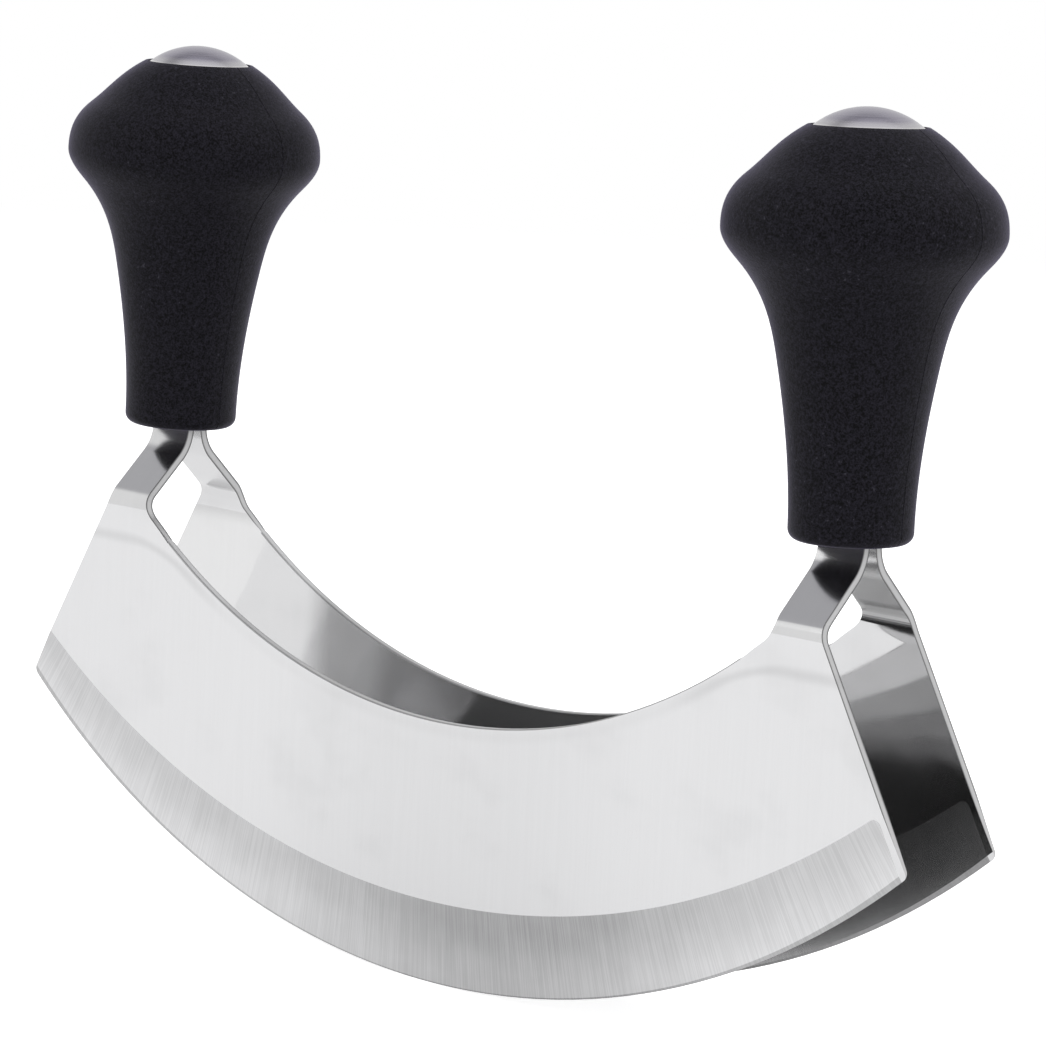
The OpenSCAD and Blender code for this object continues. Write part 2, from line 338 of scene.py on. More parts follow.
def measure(piece):
    """Volume in cubic millimetres, number of open edges and lowest height, to see that a cut went well."""
    mesh = bmesh.new()
    mesh.from_mesh(piece.data)
    volume = round(mesh.calc_volume() / MM**3, 1)
    open_edges = sum(len(e.link_faces) != 2 for e in mesh.edges)
    lowest = round(min(v.co.z for v in mesh.verts) / MM, 3)
    mesh.free()
    return volume, open_edges, lowest


def raised_blank(name):
    """The full grip as one turned solid on its own axis, with its foot at height 0."""
    bpy.ops.object.select_all(action="DESELECT")
    radius, height = rings[0]
    bpy.ops.mesh.primitive_circle_add(vertices=sides_of_a_ring, radius=radius * MM, fill_type="NGON")
    blank = bpy.context.active_object
    blank.name = blank.data.name = name
    bpy.ops.object.mode_set(mode="EDIT")
    for next_radius, next_height in rings[1:]:
        rise = (0, 0, (next_height - height) * MM)
        bpy.ops.mesh.extrude_region_move(TRANSFORM_OT_translate={"value": rise})
        grow = next_radius / radius
        bpy.ops.transform.resize(value=(grow, grow, 1))
        radius, height = next_radius, next_height
    bpy.ops.mesh.select_all(action="SELECT")
    bpy.ops.mesh.normals_make_consistent(inside=False)
    bpy.ops.object.mode_set(mode="OBJECT")
    return blank


shell = raised_blank("grip.right.rear")
print("blank, volume, open edges, lowest:", measure(shell))

# %% Keep the rear half and break the rim of the cut
joint_break = 0.1
on_the_cut = 1e-7
rim_turn = 5


def is_round_the_cut(edge):
    """An edge where the flat face of the cut meets the skin."""
    return turn_of(edge) > rim_turn and all(abs(v.co.y) < on_the_cut for v in edge.verts)


def halve(blank):
    """Cuts the blank along its axis and takes the sharp edge off all round the cut."""
    select_only(blank)
    bpy.ops.object.mode_set(mode="EDIT")
    bpy.ops.mesh.select_all(action="SELECT")
    bpy.ops.mesh.bisect(
        plane_co=(0, 0, 0), plane_no=(0, 1, 0), use_fill=True, clear_inner=True, threshold=on_the_cut
    )
    found = pick(blank, "edges", is_round_the_cut)
    bpy.ops.mesh.bevel(offset=joint_break * MM, segments=1, affect="EDGES", clamp_overlap=False)
    bpy.ops.mesh.select_all(action="SELECT")
    bpy.ops.mesh.normals_make_consistent(inside=False)
    bpy.ops.object.mode_set(mode="OBJECT")
    print("edges round the cut:", found)


halve(shell)
print("half, volume, open edges, lowest:", measure(shell))

# %% [markdown]
# ## Setting the first shell on the tangs
# The rear right shell leans 1.2 degrees to the middle, on the tangs' own centre line, which is read from
# the CAD's spacer plate.
# The pocket for the tangs is square, so it can't be turned: a Boolean modifier takes it out, as a cutter
# would.

# %% Lean the rear right shell
plate_above_foot = 3
lean_degrees = 1.2

spacer_low, spacer_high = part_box("right_tang_spacer")
tang_x = (spacer_low.x + spacer_high.x) / 2
foot_z = spacer_low.z - plate_above_foot * MM
lean = math.radians(lean_degrees)

shell.rotation_euler = (0, -lean, 0)
shell.location = (tang_x, 0, foot_z)
select_only(shell)
bpy.ops.object.transform_apply(location=True, rotation=True, scale=True)
print("tang centre:", round(tang_x / MM, 2), "mm, foot of the grip:", round(foot_z / MM, 2), "mm")

# %% Cut the pocket
pocket_half_x = 4.65
pocket_half_y = 2.45
pocket_low = -2.0
pocket_high = 40.15


def cut_with(piece, cutter):
    """Takes the cutter's shape out of the piece and throws the cutter away."""
    apply_modifier(piece, "BOOLEAN", operation="DIFFERENCE", solver="EXACT", object=cutter)
    bpy.data.objects.remove(cutter)


def pocket_cutter(middle_x, base_z):
    """A block with the size of both tangs, the plate between them and their clearance."""
    bpy.ops.object.select_all(action="DESELECT")
    place = (middle_x, 0, base_z + (pocket_low + pocket_high) / 2 * MM)
    size = (2 * pocket_half_x * MM, 2 * pocket_half_y * MM, (pocket_high - pocket_low) * MM)
    bpy.ops.mesh.primitive_cube_add(size=1, location=place, scale=size)
    return bpy.context.active_object


cut_with(shell, pocket_cutter(tang_x, foot_z))
print("shell, volume, open edges, lowest:", measure(shell), "faces:", len(shell.data.polygons))

# %% [markdown]
# ## The other three shells
# The two grips and their halves are alike, so modelling each one again would only repeat the work.
# The other three shells are copies of the first, mirrored in X, in Y or in both.
# Mirroring turns a skin inside out, so the normals of each copy are made consistent again.

# %% Mirror the shell
grips = {"right_rear_grip": shell}
for node, name, flip in [
    ("right_front_grip", "grip.right.front", (1, -1, 1)),
    ("left_rear_grip", "grip.left.rear", (-1, 1, 1)),
    ("left_front_grip", "grip.left.front", (-1, -1, 1)),
]:
    copy = bpy.data.objects.new(name, shell.data.copy())
    bpy.context.scene.collection.objects.link(copy)
    copy.scale = flip
    select_only(copy)
    bpy.ops.object.transform_apply(location=True, rotation=True, scale=True)
    grips[node] = copy
print("shells:", sorted(grips))

# %% Smooth the shells and set them in place
skin_merge_reach = 0.001
smooth_up_to_degrees = 35


def finish_shell(piece, node):
    """Smooths the moulded skin and sets the shell in the place of its CAD node."""
    select_only(piece)
    bpy.ops.object.mode_set(mode="EDIT")
    bpy.ops.mesh.select_all(action="SELECT")
    bpy.ops.mesh.remove_doubles(threshold=skin_merge_reach * MM)
    bpy.ops.mesh.normals_make_consistent(inside=False)
    bpy.ops.object.mode_set(mode="OBJECT")
    bpy.ops.object.shade_smooth_by_angle(angle=math.radians(smooth_up_to_degrees))
    apply_modifier(piece, "WEIGHTED_NORMAL", keep_sharp=True)
    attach(piece, "root")
    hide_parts(node)
    low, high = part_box(node)
    heights = [v.co.z for v in piece.data.vertices]
    misfit = max(abs(min(heights) - low.z), abs(max(heights) - high.z))
    print(piece.name, "stands within", round(misfit / MM, 3), "mm of its node's height")


for node, piece in grips.items():
    finish_shell(piece, node)

# %% [markdown]
# ## Shader maths that reads like a sum
# A procedural finish is mostly arithmetic on the place of a point: how far it lies from the grinding line,
# and which way the polishing ran.
# In the shader editor each sum is one more Math node, which soon turns into a knot of wires.
# The small class below wraps one output socket, so that a + b, 1 - a or a * 3 adds the Math node by itself.
# Every other node is made by its one method, node().


# %% A wire that can be added and multiplied
class Wire:
    """One output socket of a shader node, usable in sums with numbers and with other wires."""

    def __init__(self, tree, socket=None):
        self.tree, self.socket = tree, socket

    def node(self, kind, settings=None, inputs=None, out=0):
        """Adds a node, with settings first and then its inputs, and returns one of its outputs, if any."""
        made = self.tree.nodes.new("ShaderNode" + kind)
        for name, value in (settings or {}).items():
            setattr(made, name, value)
        for name, value in (inputs or {}).items():
            if isinstance(value, Wire):
                self.tree.links.new(value.socket, made.inputs[name])
            else:
                made.inputs[name].default_value = value
        return Wire(self.tree, made.outputs[out] if made.outputs else None)

    def maths(self, operation, *others):
        """One Math node that works on this wire and the others."""
        terms = dict(enumerate([self, *others]))
        return self.node("Math", {"operation": operation}, terms)

    def __add__(self, other):
        return self.maths("ADD", other)

    __radd__ = __add__

    def __mul__(self, other):
        return self.maths("MULTIPLY", other)

    __rmul__ = __mul__

    def __sub__(self, other):
        return self.maths("SUBTRACT", other)

    def __rsub__(self, other):
        return (self * -1) + other

    def ramp(self, low, high):
        """0 below low, 1 above high, and a soft step between."""
        limits = {"Value": self, "From Min": low, "From Max": high}
        return self.node("MapRange", {"interpolation_type": "SMOOTHSTEP"}, limits)

    def hypot(self, other):
        """Length of the line whose two legs are this wire and the other."""
        return (self * self + other * other).maths("SQRT")


# %% Helpers for every material
def new_material(name):
    """An empty node material, and a first wire to build its nodes on."""
    material = bpy.data.materials.new(name)
    material.use_nodes = True
    material.node_tree.nodes.clear()
    return material, Wire(material.node_tree)


def place_in_mm(start):
    """The three coordinates of a point on the piece, in millimetres."""
    place = start.node("TexCoord", out="Object")
    parts = [start.node("SeparateXYZ", None, {0: place}, out=axis) for axis in range(3)]
    return [part * 1000 for part in parts]


print("shader helpers ready")

# %% [markdown]
# ## Blade steel: where each kind of surface lies
# A blade has four kinds of surface: the polished sides, the ground band, the narrow honed bevel at the edge
# and the sheet's own thickness.
# Each could be a material of its own, but then every border would have to be an edge of the mesh.
# Here each border is a distance worked out from the same circles and lines as in the CAD, so it meets the
# ridge exactly and can be as soft as it is on the real blade.
# The rims of a cut edge are darker than its middle, so the depth in the sheet is followed round both bends
# as well.

# %% Depth in the bent sheet
sheet = 1.5
inner_face_y = 10.8
bend_angle = math.radians(46.5)
low_bend_inside = 3.5
low_bend_r = low_bend_inside + sheet / 2
low_bend_y = inner_face_y - low_bend_inside
low_bend_z = 70.6
half_spacer = 0.8
high_bend_inside = 6.8
high_bend_r = high_bend_inside + sheet / 2
high_bend_y = half_spacer + sheet + high_bend_inside
high_bend_z = foot_z / MM


def depth_in_sheet(y, z):
    """Distance from the middle of the sheet's thickness, followed round both bends of a tang."""
    across = y.maths("ABSOLUTE")
    run, rise = math.cos(bend_angle), math.sin(bend_angle)
    flat = across - inner_face_y - sheet / 2
    low = (across - low_bend_y).hypot(z - low_bend_z) - low_bend_r
    slope = (across - low_bend_y) * run + (z - low_bend_z) * rise - low_bend_r
    high = high_bend_r - (across - high_bend_y).hypot(z - high_bend_z)
    bent = z.maths("GREATER_THAN", low_bend_z)
    sloped = z.maths("GREATER_THAN", low_bend_z + low_bend_r * rise)
    upper = z.maths("GREATER_THAN", high_bend_z - high_bend_r * rise)
    return (flat + (low - flat) * bent + (slope - low) * sloped + (high - slope) * upper).maths("ABSOLUTE")


print("centres of the bends at y", round(low_bend_y, 2), "and", round(high_bend_y, 2), "mm")

# %% The sheet's side edges and the grinding
side_foot = (98.6, 37.9)
side_top = (80.8, 72.0)
side_length = math.hypot(side_foot[0] - side_top[0], side_foot[1] - side_top[1])
side_normal = ((side_foot[1] - side_top[1]) / side_length, (side_top[0] - side_foot[0]) / side_length)
side_margin = 0.35
ground_corner = 1.6
thinned_by = 1.3
edge_radius = 152.7
edge_centre_z = edge_radius
honed_tip = 0.1
honed_slope = 1.87
line_blur = 0.06
hone_blur = 0.04


def rounded_inset(first, second, rounding):
    """Distance inside two borders, rounded where they meet; both are positive inside."""
    short_a = (rounding - first).maths("MAXIMUM", 0.0)
    short_b = (rounding - second).maths("MAXIMUM", 0.0)
    return rounding - short_a.hypot(short_b)


side_slant = math.degrees(math.atan2(side_foot[0] - side_top[0], side_top[1] - side_foot[1]))
print("slant of the side edges:", round(side_slant, 1), "degrees")


# %% What a spot on a blade is
class BladeSpot:
    """A spot on a blade, all in wires: its place in mm, and how much of each kind of surface it is."""

    def __init__(self, start):
        x, y, z = place_in_mm(start)
        self.x, self.y, self.z = x, y, z
        self.below_line = (x - grind_centre_x).hypot(z - grind_centre_z) - grind_radius
        inside_side = (x - side_foot[0]) * side_normal[0] + (z - side_foot[1]) * side_normal[1]
        band = rounded_inset(self.below_line, inside_side - side_margin, ground_corner)
        self.ground = band.ramp(-line_blur, line_blur)
        thickness = sheet - self.below_line * (thinned_by / grind_height)
        above_edge = edge_radius - x.hypot(z - edge_centre_z)
        self.honed = ((thickness - honed_tip) * honed_slope - above_edge).ramp(-hone_blur, hone_blur)
        normal = start.node("NewGeometry", out="True Normal")
        facing = start.node("SeparateXYZ", None, {0: normal}, out=1)
        self.outer = (facing * y).ramp(-0.5, 0.5)
        self.sheared = 1 - facing.maths("ABSOLUTE").ramp(0.2, 0.4)
        self.burr = start.node("Attribute", {"attribute_name": "burr"}, out="Fac")


# %% [markdown]
# ## Blade steel: the tones
# The sides are polished nearly to a mirror, so they show the white room and, between the blades, each other
# again and again, darker each time.
# No paint gives that, but a smooth metal with the reflectance of stainless steel, about six tenths, does.
# A soft darker line just inside the arch and under the bends is painted shade, for the darker image that
# the slightly curved sheet mirrors there, and fingers left a few smudges.
# The inner faces carry a painted reflection: brighter at their end towards -X and darker beside it, which
# one even steel doesn't give, so these two tones are set from the photo.
# The ground band is darker, with fine lines square to the edge, and paler lower down, until the honed
# bevel, which is darker again. Its paler ends are painted reflection, which leaves the middle darker where
# the band mirrors the floor's shadow, and on the inner faces the band is darkened further as painted shade
# between the blades.

# %% The darker line along the arch, painted as shade
# Place and strength of the painted shade line along the arch.
arch_centre_z = 157.06
arch_radius = 112.06
painted_rim_shade_inset = 1.45
painted_rim_shade_top = 65.3
painted_rim_shade_corner = 4.5
painted_rim_shade_width = 1.6
painted_rim_shade_loss = 0.02
painted_rim_shade_loss_at_ends = 0.06


def painted_rim_shade(spot):
    """Painted shade: a darker line just inside the arch of an outer side, strongest near the arch's ends.
    """
    under_arch = spot.x.hypot(spot.z - arch_centre_z) - arch_radius - painted_rim_shade_inset
    distance = rounded_inset(under_arch, painted_rim_shade_top - spot.z, painted_rim_shade_corner).maths("ABSOLUTE")
    loss = spot.x.maths("ABSOLUTE").ramp(48, 62) * painted_rim_shade_loss_at_ends + painted_rim_shade_loss
    return (1 - distance.ramp(0.0, painted_rim_shade_width)) * spot.outer * loss


print("polish rim:", 2 * painted_rim_shade_width, "mm wide")


# %% Tone of the polished sides
polished_reflectance = 0.619
polish_line_gain = 0.01
outer_end_gain = 0.035
smudge_loss = 0.03
# The gains and the loss below set the painted reflection on the inner faces.
bright_end_gain = 0.18
front_end_gain = 0.13
painted_dark_part_loss = 0.135


def painted_inner_reflection(spot):
    """What the end towards -X adds to the inner faces as painted reflection: a bright end, and a darker
    part beside it.
    """
    leftwards = spot.x * -1
    at_end = leftwards.ramp(46, 54)
    bright_end = at_end * (1 - spot.z.ramp(66, 70))
    painted_dark_part = leftwards.ramp(4, 26) * (1 - at_end)
    front_end = leftwards.ramp(60, 70) * (spot.y * -1).ramp(0.0, 1.0)
    gain = front_end * front_end_gain + bright_end_gain
    return (bright_end * gain - painted_dark_part * painted_dark_part_loss) * (1 - spot.outer)


def polished_tone(spot, polish, haze):
    """Reflectance of the polished sides, with painted shade along the arch and painted reflection on the
    inner faces.
    """
    off_centre = (spot.x - 5).maths("ABSOLUTE").ramp(10, 50)
    tone = polish.ramp(0.3, 0.7) * polish_line_gain + off_centre * spot.outer * outer_end_gain
    # The darker line taken off in this sum is painted shade along the arch.
    tone = tone + polished_reflectance - painted_rim_shade(spot) - haze.ramp(0.5, 0.76) * smudge_loss
    # The brighter end and the darker part added here are painted reflection on the inner faces.
    return tone + painted_inner_reflection(spot)


brightest = polished_reflectance + bright_end_gain + front_end_gain
print("tone of the polish:", polished_reflectance, "and at most about", round(brightest, 2))


# %% Noises that can run in one direction
def noise(start, place, scale, detail, roughness=0.5):
    """A cloudy pattern whose grains are about 1 / scale wide, in the unit of the place."""
    inputs = {"Vector": place, "Scale": scale, "Detail": detail, "Roughness": roughness}
    return start.node("TexNoise", None, inputs)


def brushed_noise(start, along_x, along_y, along_z, detail, roughness=0.5):
    """A noise read at three stretched coordinates, so that its grains can run in one direction."""
    place = start.node("CombineXYZ", None, {0: along_x, 1: along_y, 2: along_z})
    return noise(start, place, 1.0, detail, roughness)


def grinding_noises(start, spot):
    """Fine lines square to the cutting edge, and patches where the wheel pressed harder."""
    along = (spot.x - grind_centre_x).maths("ARCTAN2", grind_centre_z - spot.z) * grind_radius
    lines = brushed_noise(start, along * 6.0, spot.below_line * 0.06, spot.y * 0.3, detail=2.0)
    patches = brushed_noise(start, along * 0.1, spot.below_line * 0.15, spot.y * 0.3, detail=2.0)
    return lines, patches


# %% Tone of the ground band and of the cut edges
ground_reflectance = 0.3
# Painted reflection: how much paler the band's ends are than its middle.
ground_painted_end_gain = 0.17
ground_foot_gain = 0.13
grinding_line_gain = 0.07
grinding_patch_gain = 0.03
honed_loss = 0.2
# Painted shade: the share of the band's tone left on the inner faces, between the blades.
inner_ground_shade_share = 0.65
cut_edge_loss = 0.2
cut_rim_loss = 0.65


def ground_tone(spot, lines, patches):
    """Reflectance of the ground band and of the honed bevel below it, with painted reflection at its ends
    and painted shade on the inner faces.
    """
    # Paler ends are painted reflection; the darker middle stands for the floor's shadow that the band
    # mirrors.
    off_centre = (spot.x - 20).maths("ABSOLUTE").ramp(5, 60)
    low_down = spot.below_line.ramp(1, 13)
    tone = ground_reflectance + off_centre * ground_painted_end_gain + low_down * ground_foot_gain
    tone = tone + lines.ramp(0.35, 0.65) * grinding_line_gain + patches.ramp(0.3, 0.7) * grinding_patch_gain
    # On the inner faces the band is darkened as painted shade between the blades.
    share = spot.outer * (1 - inner_ground_shade_share) + inner_ground_shade_share
    return (tone - spot.honed * honed_loss) * share


def cut_edge_shade(spot):
    """How much darker the sheet's cut edge is, more so at its two rims."""
    near_rim = depth_in_sheet(spot.y, spot.z).ramp(0.3, 0.68)
    return (near_rim * cut_rim_loss + cut_edge_loss) * spot.sheared


palest = ground_reflectance + ground_painted_end_gain + ground_foot_gain
print("tone of the ground band:", ground_reflectance, "to about", round(palest, 2))


# %% [markdown]
# ## Blade steel: polish and relief
# The polish is finest on the inner faces of the blades.
# It is duller on the ground band and above the bends, which the wheel hardly reaches, and the cut edges and
# the burr are matt.
# The renderer follows only a few of the reflections between the blades, so a few hundredths of the inner
# faces are left matt, which stands in for the light of all the deeper ones.
# Sheet that was bent by hand is never quite flat, and its repeated images are broken up.
# Moving the mesh itself would spoil the fit of the parts, so a broad bump does it: the inner faces lean by
# about two degrees, and by more towards -X, and rise a little under the bend, the outer sides of the necks
# are hollow, and the whole sheet swells here and there.
# A second, very fine bump carries the lines of the polish and of the grinding.

# %% Roughness
polished_roughness = 0.045
haze_roughness = 0.04
outer_roughness = 0.025
inner_tang_roughness = 0.16
outer_tang_polish = 0.1
ground_roughness = 0.17
outer_ground_roughness = 0.11
patch_roughness = 0.06
cut_roughness = 0.45
burr_roughness = 0.35


def steel_roughness(spot, haze, patches):
    """How far each kind of surface blurs what it mirrors."""
    above_bend = spot.z.ramp(70, 76) * (inner_tang_roughness - spot.outer * outer_tang_polish)
    polished = haze.ramp(0.3, 0.7) * haze_roughness + polished_roughness
    polished = polished + spot.outer * outer_roughness + above_bend
    ground = ground_roughness + spot.outer * outer_ground_roughness + patches * patch_roughness
    skin = polished * (1 - spot.ground) + ground * spot.ground
    return skin.maths("MAXIMUM", spot.sheared * cut_roughness).maths("MAXIMUM", spot.burr * burr_roughness)


print("roughness:", polished_roughness, "at the finest polish,", cut_roughness, "on the cut edges")


# %% Metal and the matt part
matt_inside = 0.07
matt_lost_rightwards = 0.06
matt_ground_rightwards = 0.09
matt_cut_edge = 0.35


def steel_metallic(spot):
    """Metal, but for a few hundredths of the inner faces and about a third of the cut edges."""
    rightwards = spot.x.ramp(20, 60)
    matt = matt_inside - rightwards * matt_lost_rightwards
    matt = (matt + spot.ground * rightwards * matt_ground_rightwards) * (1 - spot.outer)
    return 1 - matt * (1 - spot.sheared) - spot.sheared * matt_cut_edge


print("metallic:", round(1 - matt_inside, 2), "inside and", round(1 - matt_cut_edge, 2), "on the cut edges")


# %% Lean, necks and swell of the sheet
inner_lean = math.tan(math.radians(1.9))
left_lean = math.tan(math.radians(4.0))
left_lean_from = 62
lean_up_to = 71.0
rise_under_bend = 0.7
neck_from = 82.5
neck_hollow = 0.047
swell_height = 0.12
grinding_line_height = 0.5
polish_line_height = 0.05


def sheet_relief(spot, swell):
    """Height of the skin over a perfect sheet, in millimetres."""
    leaning = spot.z.maths("MINIMUM", lean_up_to)
    left_part = (spot.x * -1).ramp(18, 48)
    leant = leaning * inner_lean + (leaning - left_lean_from) * left_part * left_lean
    under_bend = spot.z.ramp(68.5, 75.0) * rise_under_bend
    up_neck = (spot.z - neck_from).maths("MAXIMUM", 0.0)
    inside = (under_bend - leant) * (1 - spot.outer)
    return inside - up_neck * up_neck * spot.outer * neck_hollow + swell * swell_height


def steel_bump(start, spot, swell, polish, lines):
    """The broad shape of the sheet, and on it the lines of the polish and of the grinding."""
    relief = sheet_relief(spot, swell)
    broad = start.node("Bump", None, {"Height": relief, "Strength": 1.0, "Distance": MM})
    scratches = lines * spot.below_line.ramp(0.0, 3.0) * grinding_line_height + polish * polish_line_height
    inputs = {"Height": scratches, "Strength": 0.1, "Distance": 0.05 * MM, "Normal": broad}
    return start.node("Bump", None, inputs)


print("bump of the leaning inner faces at their top:", round(lean_up_to * inner_lean, 2), "mm")


# %% Blade steel material
burr_loss = 0.45
faint_blue = 1.006


def blade_steel():
    """Polished stainless sheet with a ground band, a honed edge and matt cut edges."""
    material, start = new_material("blade_steel")
    spot = BladeSpot(start)
    polish = brushed_noise(start, spot.x * 2.4, spot.y * 0.05, spot.z * 0.05, detail=3.0, roughness=0.6)
    haze = brushed_noise(start, spot.x * 0.06, spot.y * 0.06, spot.z * 0.09, detail=3.0)
    swell = brushed_noise(
        start, (spot.x + spot.z) * 0.05, spot.y * 0.05, (spot.z - spot.x) * 0.02, detail=1.0
    )
    lines, patches = grinding_noises(start, spot)

    tone = polished_tone(spot, polish, haze) * (1 - spot.ground)
    tone = tone + ground_tone(spot, lines, patches) * spot.ground
    tone = tone * (1 - spot.burr * burr_loss) * (1 - cut_edge_shade(spot))
    surface = start.node("BsdfPrincipled", None, {
        "Base Color": start.node("CombineColor", None, {0: tone, 1: tone, 2: tone * faint_blue}),
        "Metallic": steel_metallic(spot),
        "Roughness": steel_roughness(spot, haze, patches),
        "Normal": steel_bump(start, spot, swell, polish, lines),
    })
    start.node("OutputMaterial", None, {"Surface": surface})
    return material


steel = blade_steel()
for piece in (front_blade, rear_blade):
    piece.data.materials.clear()
    piece.data.materials.append(steel)
print("nodes in the blade steel:", len(steel.node_tree.nodes))

# %% [markdown]
# ## Black grip plastic
# The grips are moulded in a spark-eroded tool, which gives the black plastic an even, fine grain and a dull
# sheen at grazing angles.
# A stone or leather pattern would be far too coarse, so two noises make the grain, about a third and two
# thirds of a millimetre wide.
# A few of its highest grains are a little paler, as if worn.

# %% Grip plastic material
grain_valley = (0.0003, 0.0002, 0.0006, 1)
grain_peak = (0.0138, 0.0128, 0.0188, 1)
worn_grey = (0.05, 0.048, 0.06, 1)
cool_sheen = (0.58, 0.48, 1.0, 1)


def mix_colour(factor, first, second):
    """One colour where the factor is 0 and the other where it is 1."""
    return factor.node("Mix", {"data_type": "RGBA"}, {0: factor, 6: first, 7: second}, out=2)


def grip_plastic():
    """Black moulded plastic with an eroded grain."""
    material, start = new_material("grip_plastic")
    place = start.node("TexCoord", out="Object")
    fine = noise(start, place, 3200.0, detail=1.0, roughness=0.6)
    coarse = noise(start, place, 1500.0, detail=2.0, roughness=0.6)
    patches = noise(start, place, 60.0, detail=3.0)
    worn = coarse.ramp(0.66, 0.74) * patches.ramp(0.45, 0.6)
    grain = fine.ramp(0.4, 0.6) * 0.6 + coarse.ramp(0.4, 0.6) * 0.4
    black = mix_colour(grain, grain_valley, grain_peak)
    relief = fine * 0.5 + coarse * 0.5
    surface = start.node("BsdfPrincipled", None, {
        "Base Color": mix_colour(worn * 0.6, black, worn_grey),
        "Roughness": patches.ramp(0.3, 0.7) * 0.06 + 0.5,
        "Normal": start.node("Bump", None, {"Height": relief, "Strength": 0.6, "Distance": 0.1 * MM}),
        "Specular IOR Level": 0.08,
        "Sheen Weight": 0.17,
        "Sheen Roughness": 0.3,
        "Sheen Tint": cool_sheen,
    })
    start.node("OutputMaterial", None, {"Surface": surface})
    return material


plastic = grip_plastic()
for piece in grips.values():
    piece.data.materials.clear()
    piece.data.materials.append(plastic)
print("nodes in the grip plastic:", len(plastic.node_tree.nodes))

# %% [markdown]
# ## Steel of the caps and of the inner parts
# The caps are drawn from thin sheet and polished while they turn, which leaves rings so fine that they only
# widen the reflections.
# Real grooves would need thousands of faces, so a noise makes them, drawn out round the grip's leaning
# axis.
# Each side has its own axis, and one material serves both caps by folding X over.
# The dome is darkest, its shoulder is paler and its rim is the palest; the paler shoulder and rim are
# painted highlights, for the light that the curving shoulder and the rounded rim mirror.
# The plates and pins inside the grips are plain drawn stock with lines along them, and they get a duller
# steel.

# %% Cap steel
dome_dark = (0.25, 0.237, 0.285, 1)
dome_light = (0.3, 0.286, 0.335, 1)
# Painted highlights: the paler shoulder and the palest rim.
shoulder_painted_light = (0.42, 0.41, 0.43, 1)
rim_painted_highlight = (0.72, 0.71, 0.69, 1)


def cap_steel():
    """Steel polished in rings, with painted highlights on the shoulder and rim of the cap."""
    material, start = new_material("cap_steel")
    x, y, z = place_in_mm(start)
    axis_x = tang_x / MM - (z - foot_z / MM) * math.tan(lean)
    from_axis = (x.maths("ABSOLUTE") - axis_x).hypot(y)
    turned = brushed_noise(start, from_axis * 5.0, y * 0.02, x * 0.02, detail=3.0)
    shoulder = from_axis.ramp(cap_radius - 2.4, cap_radius - 1.0)
    rim = from_axis.ramp(cap_radius - 0.9, cap_radius - 0.3)
    dome = mix_colour(turned.ramp(0.3, 0.7), dome_dark, dome_light)
    surface = start.node("BsdfPrincipled", None, {
        # The shoulder and rim colours mixed in here are painted highlights.
        "Base Color": mix_colour(rim, mix_colour(shoulder, dome, shoulder_painted_light), rim_painted_highlight),
        "Metallic": 1.0,
        "Roughness": turned.ramp(0.3, 0.7) * 0.06 + 0.26 - rim * 0.1,
        "Normal": start.node("Bump", None, {"Height": turned, "Strength": 0.1, "Distance": 0.05 * MM}),
    })
    start.node("OutputMaterial", None, {"Surface": surface})
    return material


# %% Stock steel, and the CAD nodes that stay
stock_dark = (0.42, 0.42, 0.43, 1)
stock_light = (0.52, 0.52, 0.53, 1)


def stock_steel():
    """Plain drawn stock with lines along it."""
    material, start = new_material("stock_steel")
    x, y, z = place_in_mm(start)
    drawn = brushed_noise(start, x * 4.0, y * 0.2, z * 0.1, detail=3.0)
    surface = start.node("BsdfPrincipled", None, {
        "Base Color": mix_colour(drawn.ramp(0.3, 0.7), stock_dark, stock_light),
        "Metallic": 1.0,
        "Roughness": drawn.ramp(0.3, 0.7) * 0.1 + 0.3,
    })
    start.node("OutputMaterial", None, {"Surface": surface})
    return material


cap_finish = cap_steel()
stock_finish = stock_steel()
finishes = {
    "left_cap": cap_finish,
    "right_cap": cap_finish,
    "left_tang_spacer": stock_finish,
    "right_tang_spacer": stock_finish,
    "left_cross_pins": stock_finish,
    "right_cross_pins": stock_finish,
}
for node, finish in finishes.items():
    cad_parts[node].material_slots[0].material = finish
print("CAD nodes refinished:", len(finishes))

# %% [markdown]
# ## The white room
# Product photos of cutlery are taken on a white sweep with large soft lamps, so that the polished steel has
# something white to show.
# A modelled sweep would need a long curve behind the object, so here the floor is a wide pale plane that
# turns to plain white far off.
# The world is white near the horizon and a quiet grey overhead, as a studio ceiling is.
# The camera sees the sweep as pure white, and so does the steel, but the floor keeps a soft shadow under
# the edges.

# %% Floor
floor_size = 12
paper_grey = (0.75, 0.75, 0.75, 1)
white_colour = (1, 1, 1, 1)


def white_light(start, strength):
    """A surface that shines white by itself."""
    return start.node("Emission", None, {"Color": white_colour, "Strength": strength})


def paper_sweep():
    """Matt paper with a glow of its own for the camera and the mirrors, and plain white far off."""
    material, start = new_material("paper_sweep")
    camera_ray = start.node("LightPath", out="Is Camera Ray")
    seen = camera_ray.maths("MAXIMUM", start.node("LightPath", out="Is Glossy Ray"))
    seen = seen.maths("MAXIMUM", start.node("LightPath", out="Is Transmission Ray"))
    matt = start.node("BsdfDiffuse", None, {"Color": paper_grey})
    faint, full = white_light(start, 0.4), white_light(start, 0.7)
    glow = start.node("MixShader", None, {0: camera_ray, 1: faint, 2: full})
    lifted = start.node("AddShader", None, {0: matt, 1: glow})
    x, y, z = place_in_mm(start)
    far = x.hypot(y).ramp(900, 1600)
    shown = start.node("MixShader", None, {0: far, 1: lifted, 2: white_light(start, 1.0)})
    surface = start.node("MixShader", None, {0: seen, 1: matt, 2: shown})
    start.node("OutputMaterial", None, {"Surface": surface})
    return material


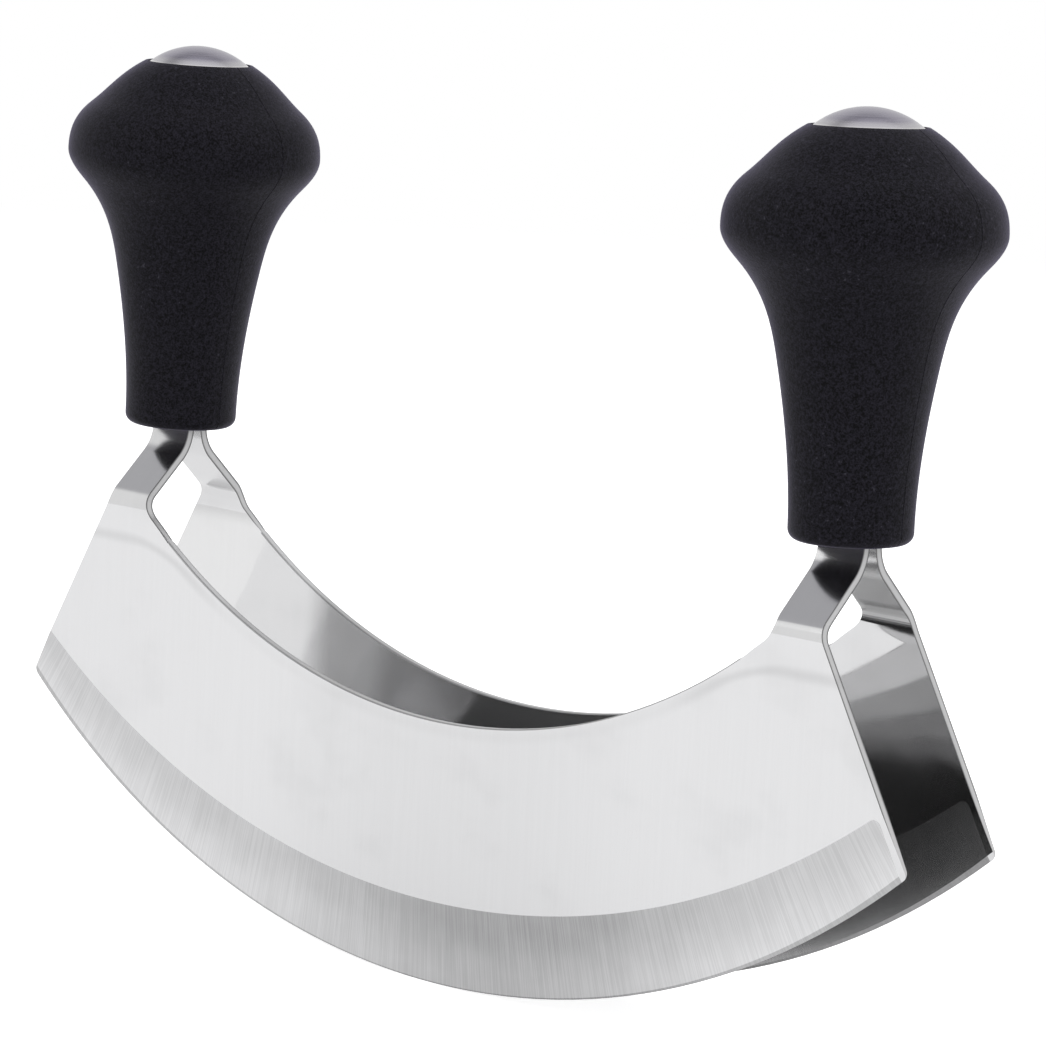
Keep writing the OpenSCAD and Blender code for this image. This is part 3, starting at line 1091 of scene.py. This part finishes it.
bpy.ops.object.select_all(action="DESELECT")
bpy.ops.mesh.primitive_plane_add(size=floor_size, location=(0, 0, 0))
floor = bpy.context.active_object
floor.name = "floor"
floor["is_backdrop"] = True
floor.data.materials.append(paper_sweep())
print("floor:", floor_size, "m wide")

# %% World
ceiling_grey = (0.5, 0.5, 0.52, 1)
ceiling_tilt = 0.15

world = bpy.data.worlds.new("studio")
bpy.context.scene.world = world
world.use_nodes = True
world.node_tree.nodes.clear()
start = Wire(world.node_tree)
direction = start.node("TexCoord", out="Generated")
across, height = (start.node("SeparateXYZ", None, {0: direction}, out=axis) for axis in (1, 2))
overhead = (height - across * ceiling_tilt).ramp(0.63, 0.69)
room = mix_colour(overhead, white_colour, ceiling_grey)
seen = start.node("LightPath", out="Is Camera Ray")
sky = start.node("Background", None, {"Color": mix_colour(seen, room, white_colour), "Strength": 1.0})
start.node("OutputWorld", None, {"Surface": sky})
print("world nodes:", len(world.node_tree.nodes))

# %% Soft lamps
lamp_aim = (0, 0, 0.08)


def soft_lamp(name, place, size, power):
    """A square soft box that faces the middle of the object."""
    lamp = bpy.data.lights.new(name, "AREA")
    lamp.shape, lamp.size, lamp.energy = "SQUARE", size, power
    holder = bpy.data.objects.new(name, lamp)
    bpy.context.scene.collection.objects.link(holder)
    holder.location = place
    holder.rotation_euler = (Vector(place) - Vector(lamp_aim)).to_track_quat("Z", "Y").to_euler()
    print(name, "at", place, "power", power)


soft_lamp("lamp_left", (-0.5, -1.6, 1.6), size=1.6, power=8)
soft_lamp("lamp_right", (1.6, 0.4, 1.5), size=1.6, power=8)
soft_lamp("lamp_top", (0.2, 0.2, 2.4), size=2.4, power=12)

# %% [markdown]
# ## The camera
# The photo was taken from the front right and a little above, and the object stands slightly turned in the
# frame.
# The angles, the distance and the focal length come from fitting the model's outline to the photo's.
# They are written as a photographer would say them, and the camera's matrix is worked out from them.

# %% Camera
azimuth, elevation, roll = (math.radians(a) for a in (41.576, 8.535, 2.914))
aim = Vector((0.0075740, 0.0, 0.0785802))
distance = 0.70846
level_share = math.cos(elevation)
back = Vector((math.sin(azimuth) * level_share, -math.cos(azimuth) * level_share, math.sin(elevation)))
level_right = Vector((math.cos(azimuth), math.sin(azimuth), 0))
level_up = back.cross(level_right)
right = level_right * math.cos(roll) + level_up * math.sin(roll)
up = level_up * math.cos(roll) - level_right * math.sin(roll)

camera = bpy.data.cameras.new("camera")
camera.sensor_fit, camera.sensor_width = "HORIZONTAL", 36
camera.lens = 145.33
camera.clip_start, camera.clip_end = 0.01, 50
camera_holder = bpy.data.objects.new("camera", camera)
bpy.context.scene.collection.objects.link(camera_holder)
turn = Matrix((right, up, back)).transposed().to_4x4()
camera_holder.matrix_world = Matrix.Translation(aim + back * distance) @ turn
bpy.context.scene.camera = camera_holder
print("camera at", [round(v, 4) for v in camera_holder.matrix_world.translation])

# %% [markdown]
# ## Colour, size and the last check
# The Standard view shows a colour as it is written, so the whites and the black plastic keep their values.
# The growth of the dressed model's box over the CAD model's is printed, because the finish must not make
# the tool bigger.

# %% Write the sizes and finish
bpy.context.scene.view_settings.view_transform = "Standard"
low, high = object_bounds()
grown = [round(1000 * (a - b), 3) for a, b in zip((*low, *high), (*cad_low, *cad_high))]
print("grown by, in mm:", grown)
